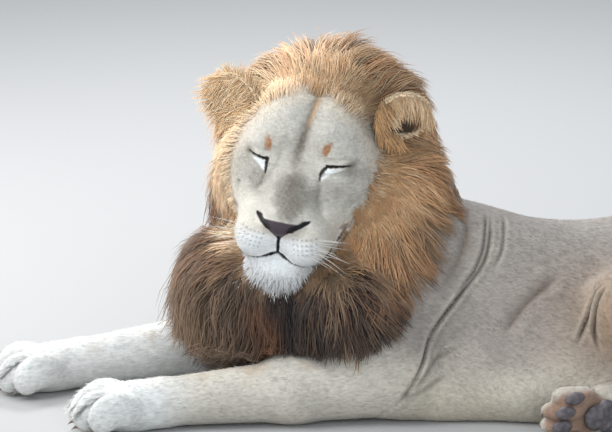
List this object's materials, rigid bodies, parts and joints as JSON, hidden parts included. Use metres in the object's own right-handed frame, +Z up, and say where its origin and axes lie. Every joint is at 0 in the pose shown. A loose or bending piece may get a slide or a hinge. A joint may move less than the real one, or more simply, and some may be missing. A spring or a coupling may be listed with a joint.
{
  "type": "lion",
  "caption": "Life-size still model of a young male lion lying at rest, forelegs stretched out and head turned to its left.",
  "frame": {"origin": "a point on the flat underside of the belly, at floor level", "axes": "+Z up; -Y the way the trunk and the forelegs point; +X the lion's left, the way the head is turned"},
  "size_m": [0.9903, 1.9456, 0.7089],
  "materials": {
    "short_fur": "short grey-buff coat lying close to the skin",
    "pale_fur": "short cream coat of the legs and feet",
    "face_fur": "very short grey-beige coat of the face",
    "mane_gold": "long coarse golden hair",
    "mane_dark": "long coarse blackish brown hair",
    "nose_skin": "bare, pebbled, slightly moist skin",
    "pad_skin": "bare, dry, dark sole pads",
    "claw": "dark smooth horn",
    "eye": "wet amber eye, nearly closed by its lids"
  },
  "bodies": {
    "root": {"head": "face_fur", "nose": "nose_skin", "eye_left": "eye", "eye_right": "eye", "ear_left": "mane_gold", "ear_right": "mane_gold", "mane_crown": "mane_gold", "mane_left": "mane_gold", "mane_right": "mane_gold", "mane_nape": "mane_gold", "mane_chest": "mane_dark", "chest": "short_fur", "belly": "short_fur", "rump": "short_fur", "shoulder_left": "short_fur", "shoulder_right": "short_fur", "forearm_left": "pale_fur", "forearm_right": "pale_fur", "forepaw_left": "pale_fur", "forepaw_right": "pale_fur", "thigh_left": "short_fur", "thigh_right": "short_fur", "shank_left": "short_fur", "shank_right": "short_fur", "hindfoot_left": "pale_fur", "hindfoot_right": "pale_fur", "tail_root": "short_fur", "tail_middle": "short_fur", "tail_end": "short_fur", "tail_tuft": "mane_dark", "pad_heel": "pad_skin", "pad_toe_1": "pad_skin", "pad_toe_2": "pad_skin", "pad_toe_3": "pad_skin", "pad_toe_4": "pad_skin", "claw_left_1": "claw", "claw_left_2": "claw", "claw_left_3": "claw", "claw_left_4": "claw", "claw_right_1": "claw", "claw_right_2": "claw", "claw_right_3": "claw", "claw_right_4": "claw"}
  },
  "joints": []
}
